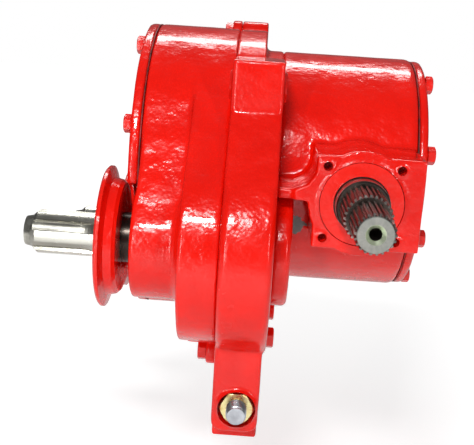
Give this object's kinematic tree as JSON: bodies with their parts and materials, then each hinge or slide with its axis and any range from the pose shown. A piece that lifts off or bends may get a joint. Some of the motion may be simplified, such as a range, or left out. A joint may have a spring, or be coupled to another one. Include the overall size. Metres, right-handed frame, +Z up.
{
  "type": "right angle bevel gearbox",
  "caption": "Painted cast gearbox with two parallel splined stub shafts, spur and bevel gears inside, and a stepped splined output shaft at a right angle.",
  "frame": {"origin": "centre of the output flange's face, on the output shaft's axis", "axes": "-Y out along the output shaft, +Z up towards the hanging eye, stub shafts leave along -X"},
  "size_m": [0.3205, 0.377, 0.3294],
  "materials": {
    "red_paint": "glossy red enamel over a casting",
    "bright_steel": "ground bare steel",
    "dark_steel": "oiled, heat-treated steel",
    "gear_steel": "machined steel",
    "bearing_steel": "polished bearing steel",
    "cage_brass": "machined brass",
    "zinc_plate": "bright zinc plate",
    "yellow_zinc": "yellow zinc plate",
    "seal_rubber": "oil seal rubber",
    "gasket_paper": "gasket paper"
  },
  "bodies": {
    "root": {"gear_case": "red_paint", "centre_arm": "red_paint", "case_cover": "red_paint", "case_cover_gasket": "gasket_paper", "case_cover_bolts": "red_paint", "case_joint_bolts": "red_paint", "arm_side_bolts": "red_paint", "bevel_housing": "red_paint", "housing_screws": "dark_steel", "end_cover": "red_paint", "end_cover_gasket": "gasket_paper", "end_cover_bolts": "red_paint", "pto_end_cap": "red_paint", "seal_carrier": "red_paint", "output_seal": "seal_rubber", "near_pto_seal": "seal_rubber", "far_pto_seal": "seal_rubber", "filler_breather": "zinc_plate", "level_plug": "zinc_plate", "drain_plug": "zinc_plate", "foot_bolt": "zinc_plate", "foot_washer": "zinc_plate", "foot_nut": "yellow_zinc", "bearing_outer_rings": "bearing_steel"},
    "near_pto": {"near_pto_shaft": "bright_steel", "near_dish": "red_paint", "near_gear": "gear_steel", "near_gear_key": "gear_steel", "near_sleeve": "gear_steel", "near_spacer": "gear_steel", "near_inner_rings": "bearing_steel"},
    "far_pto": {"far_pto_shaft": "bright_steel", "far_dish": "red_paint", "far_gear": "gear_steel", "far_gear_key": "gear_steel", "far_spacers": "gear_steel", "far_inner_rings": "bearing_steel"},
    "cross": {"cross_shaft": "gear_steel", "cross_gear": "gear_steel", "cross_gear_key": "gear_steel", "cross_spacer": "gear_steel", "cross_circlip": "dark_steel", "crown_gear": "gear_steel", "crown_gear_key": "gear_steel", "cross_inner_rings": "bearing_steel"},
    "output": {"output_shaft": "dark_steel", "output_spacer": "gear_steel", "output_circlip": "dark_steel", "output_inner_rings": "bearing_steel"},
    "near_cage": {"near_cages": "cage_brass", "near_balls": "bearing_steel"},
    "far_cage": {"far_cages": "cage_brass", "far_balls": "bearing_steel"},
    "cross_cage": {"cross_cages": "cage_brass", "cross_balls": "bearing_steel"},
    "output_cage": {"output_cages": "cage_brass", "output_balls": "bearing_steel"}
  },
  "joints": [
    {"name": "cross_shaft_spin", "type": "hinge", "parent": "root", "child": "cross", "pos_m": [0, 0.15223, 0], "axis": [1, 0, 0], "continuous": true},
    {"name": "near_pto_spin", "type": "hinge", "parent": "root", "child": "near_pto", "pos_m": [0, 0.04, -0.0475], "axis": [1, 0, 0], "continuous": true},
    {"name": "far_pto_spin", "type": "hinge", "parent": "root", "child": "far_pto", "pos_m": [0, 0.15223, -0.0675], "axis": [1, 0, 0], "continuous": true},
    {"name": "output_spin", "type": "hinge", "parent": "root", "child": "output", "pos_m": [0, 0, 0], "axis": [0, 1, 0], "continuous": true},
    {"name": "cross_cage_spin", "type": "hinge", "parent": "root", "child": "cross_cage", "pos_m": [0, 0.15223, 0], "axis": [1, 0, 0], "continuous": true},
    {"name": "near_cage_spin", "type": "hinge", "parent": "root", "child": "near_cage", "pos_m": [0, 0.04, -0.0475], "axis": [1, 0, 0], "continuous": true},
    {"name": "far_cage_spin", "type": "hinge", "parent": "root", "child": "far_cage", "pos_m": [0, 0.15223, -0.0675], "axis": [1, 0, 0], "continuous": true},
    {"name": "output_cage_spin", "type": "hinge", "parent": "root", "child": "output_cage", "pos_m": [0, 0, 0], "axis": [0, 1, 0], "continuous": true}
  ],
  "couplings": [
    {"joint": "near_pto_spin", "follows": "cross_shaft_spin", "ratio": 1.5},
    {"joint": "far_pto_spin", "follows": "cross_shaft_spin", "ratio": -1.5},
    {"joint": "output_spin", "follows": "cross_shaft_spin", "ratio": -1.5},
    {"joint": "cross_cage_spin", "follows": "cross_shaft_spin", "ratio": 0.43726},
    {"joint": "near_cage_spin", "follows": "cross_shaft_spin", "ratio": 0.65588},
    {"joint": "far_cage_spin", "follows": "cross_shaft_spin", "ratio": -0.65588},
    {"joint": "output_cage_spin", "follows": "cross_shaft_spin", "ratio": -0.65588}
  ]
}
